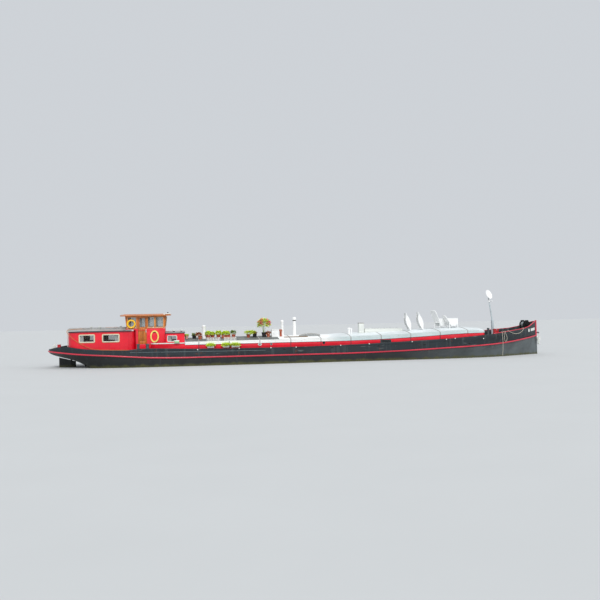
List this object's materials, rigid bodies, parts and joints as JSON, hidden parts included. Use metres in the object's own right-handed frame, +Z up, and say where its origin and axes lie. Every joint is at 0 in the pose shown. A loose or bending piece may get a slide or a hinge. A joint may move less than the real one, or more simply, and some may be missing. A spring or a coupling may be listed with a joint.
{
  "type": "sightseeing river barge",
  "caption": "Converted river motor barge afloat: straight stem, counter stern, red trimmed black hull, aft cabin, wooden wheelhouse and a long hold under a cambered roof with deck furniture.",
  "frame": {"origin": "amidships on the centreline, at the waterline the boat floats at", "axes": "+X along the keel to the bow, +Y to port, +Z up"},
  "size_m": [30.3516, 5.1154, 5.1098],
  "materials": {
    "hull_black": "satin black boat enamel, worn and waterline-stained",
    "red_paint": "gloss crimson boat enamel, slightly faded",
    "white_paint": "matt off-white deck paint with green algae in the laps",
    "grey_paint": "matt grey deck paint",
    "varnished_wood": "gloss varnish over mahogany",
    "teak": "weathered, unfinished",
    "clear_glass": "clear",
    "black_iron": "matt black paint over cast iron",
    "bronze": "dull bronze",
    "galvanised_steel": "dull zinc",
    "yellow_plastic": "gloss",
    "orange_rope": "laid fibre rope",
    "pale_rope": "laid fibre rope",
    "white_plastic": "moulded, satin",
    "terracotta": "unglazed",
    "foliage": "leaves",
    "curtain": "thin woven cloth",
    "black_rubber": "matt",
    "grey_net": "loose net"
  },
  "bodies": {
    "boat": {"hull": "hull_black", "rub_strake_starboard": "red_paint", "rub_strake_port": "red_paint", "bulwark_starboard": "hull_black", "bulwark_port": "hull_black", "cap_rail_starboard": "red_paint", "cap_rail_port": "red_paint", "stem_bar": "red_paint", "engine": "grey_paint", "aft_cabin_side_starboard": "red_paint", "aft_cabin_side_port": "red_paint", "aft_cabin_stern_wall": "red_paint", "aft_cabin_front_wall": "red_paint", "aft_cabin_glass_starboard": "clear_glass", "aft_cabin_glass_port": "clear_glass", "aft_cabin_roof": "grey_paint", "wheelhouse_base": "red_paint", "wheelhouse_side_starboard": "varnished_wood", "wheelhouse_side_port": "varnished_wood", "wheelhouse_front": "varnished_wood", "wheelhouse_back": "varnished_wood", "wheelhouse_roof": "varnished_wood", "wheelhouse_front_glass": "clear_glass", "wheelhouse_back_glass": "clear_glass", "wheelhouse_glass_starboard": "clear_glass", "wheelhouse_glass_port": "clear_glass", "wheelhouse_floor": "varnished_wood", "helm_console": "varnished_wood", "trunk_cabin_walls": "red_paint", "trunk_cabin_roof": "white_paint", "coaming_starboard": "red_paint", "coaming_port": "red_paint", "coaming_front": "red_paint", "hold_roof_1": "white_paint", "hold_roof_2": "white_paint", "hold_roof_3": "white_paint", "hold_roof_4": "white_paint", "mast_tabernacle": "grey_paint", "windlass_frame": "black_iron", "anchor": "white_paint", "midship_bollards_starboard": "black_iron", "midship_bollards_port": "black_iron", "bow_bollards_starboard": "black_iron", "bow_bollards_port": "black_iron", "folded_chair_aft": "white_plastic", "folded_chair_fore": "white_plastic", "deck_armchair_aft": "white_plastic", "deck_armchair_fore": "white_plastic", "lifebuoy": "yellow_plastic", "hose_coil": "yellow_plastic", "aft_rope": "orange_rope", "bow_rope": "pale_rope"},
    "rudder": {"rudder": "hull_black"},
    "helm": {"steering_wheel": "varnished_wood"},
    "screw": {"propeller": "bronze"},
    "door_starboard": {"wheelhouse_door_starboard": "varnished_wood"},
    "door_port": {"wheelhouse_door_port": "varnished_wood"},
    "mast": {"mast": "white_paint"},
    "windlass": {"windlass_drum": "black_iron"}
  },
  "joints": [
    {"name": "rudder_turn", "type": "hinge", "parent": "boat", "child": "rudder", "pos_m": [-13.7, 0, 0], "axis": [0, 0, 1], "range_deg": [-35, 35]},
    {"name": "wheel_turn", "type": "hinge", "parent": "boat", "child": "helm", "pos_m": [-8.95, 0, 1.56], "axis": [1, 0, 0], "range_deg": [-480, 480]},
    {"name": "propeller_spin", "type": "hinge", "parent": "boat", "child": "screw", "pos_m": [-13.06, 0, -0.43], "axis": [1, 0, 0], "continuous": true},
    {"name": "door_starboard_slide", "type": "slide", "parent": "boat", "child": "door_starboard", "axis": [1, 0, 0], "range_m": [0, 0.48]},
    {"name": "door_port_slide", "type": "slide", "parent": "boat", "child": "door_port", "axis": [1, 0, 0], "range_m": [0, 0.48]},
    {"name": "mast_lower", "type": "hinge", "parent": "boat", "child": "mast", "pos_m": [12.06, 0, 2.12], "axis": [0, 1, 0], "range_deg": [-72, 8.5]},
    {"name": "drum_turn", "type": "hinge", "parent": "boat", "child": "windlass", "pos_m": [14.2, 0, 1.88], "axis": [0, 1, 0], "continuous": true}
  ],
  "couplings": [
    {"joint": "wheel_turn", "follows": "rudder_turn", "ratio": 13.5}
  ]
}
